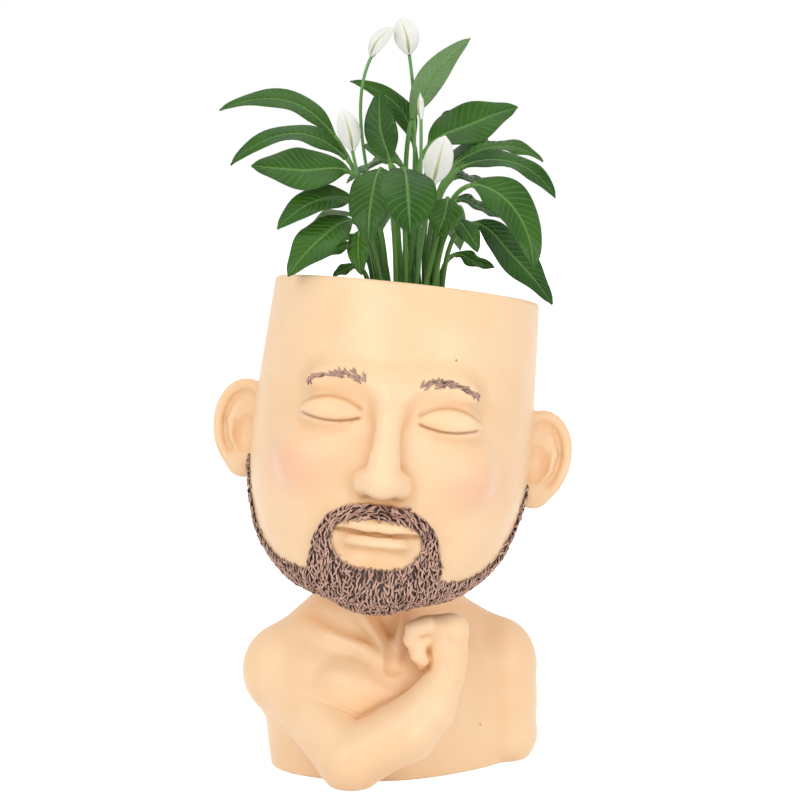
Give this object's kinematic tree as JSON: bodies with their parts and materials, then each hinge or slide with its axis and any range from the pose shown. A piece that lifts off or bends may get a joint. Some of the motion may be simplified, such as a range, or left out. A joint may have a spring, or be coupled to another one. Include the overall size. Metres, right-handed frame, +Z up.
{
  "type": "head planter",
  "caption": "Head-shaped planter on a bare bust, hollow above the brow, holding a lift-out nursery pot with a flowering peace lily; drain plug beneath.",
  "frame": {"origin": "centre of the flat base, on the surface that it stands on", "axes": "+Z up, the figure looks along -Y, its left arm is at +X"},
  "size_m": [0.1721, 0.1724, 0.3503],
  "materials": {
    "resin": "hand-painted cast polyresin, satin gloss",
    "beard": "dark brown paint with lighter dry-brushed ridges",
    "plug_rubber": "matte rubber",
    "pot_plastic": "thin black nursery-pot plastic",
    "soil": "loose damp potting soil",
    "leaf": "waxy leaf, glossy above",
    "stalk": "smooth green stalk",
    "spathe": "white petal with a green midrib",
    "spadix": "pale granular spike"
  },
  "bodies": {
    "planter": {"head_shell": "resin", "bust_base": "resin"},
    "potted_plant": {"flower_1_spadix": "spadix", "flower_1_spathe": "spathe", "flower_1_stalk": "stalk", "flower_2_spadix": "spadix", "flower_2_spathe": "spathe", "flower_2_stalk": "stalk", "flower_3_spadix": "spadix", "flower_3_spathe": "spathe", "flower_3_stalk": "stalk", "flower_4_spadix": "spadix", "flower_4_spathe": "spathe", "flower_4_stalk": "stalk", "flower_5_spathe": "spathe", "flower_5_stalk": "stalk", "leaf_01": "leaf", "leaf_02": "leaf", "leaf_03": "leaf", "leaf_04": "leaf", "leaf_05": "leaf", "leaf_06": "leaf", "leaf_07": "leaf", "leaf_08": "leaf", "leaf_09": "leaf", "leaf_10": "leaf", "leaf_11": "leaf", "leaf_12": "leaf", "leaf_13": "leaf", "leaf_14": "leaf", "leaf_15": "leaf", "leaf_16": "leaf", "leaf_17": "leaf", "leaf_18": "leaf", "leaf_19": "leaf", "leaf_20": "leaf", "leaf_21": "leaf", "leaf_22": "leaf", "leaf_23": "leaf", "leaf_24": "leaf", "leaf_25": "leaf", "leaf_26": "leaf", "leaf_27": "leaf", "leaf_28": "leaf", "leaf_29": "leaf", "leaf_30": "leaf", "leaf_31": "leaf", "nursery_pot": "pot_plastic", "soil": "soil"},
    "drain_plug": {"drain_plug": "plug_rubber"}
  },
  "joints": [
    {"name": "pot_lift", "type": "slide", "parent": "planter", "child": "potted_plant", "axis": [0.1079, 0.1182, 0.9871], "range_m": [0, 0.115]},
    {"name": "plug_pull", "type": "slide", "parent": "planter", "child": "drain_plug", "axis": [0, 0, -1], "range_m": [0, 0.016]}
  ]
}
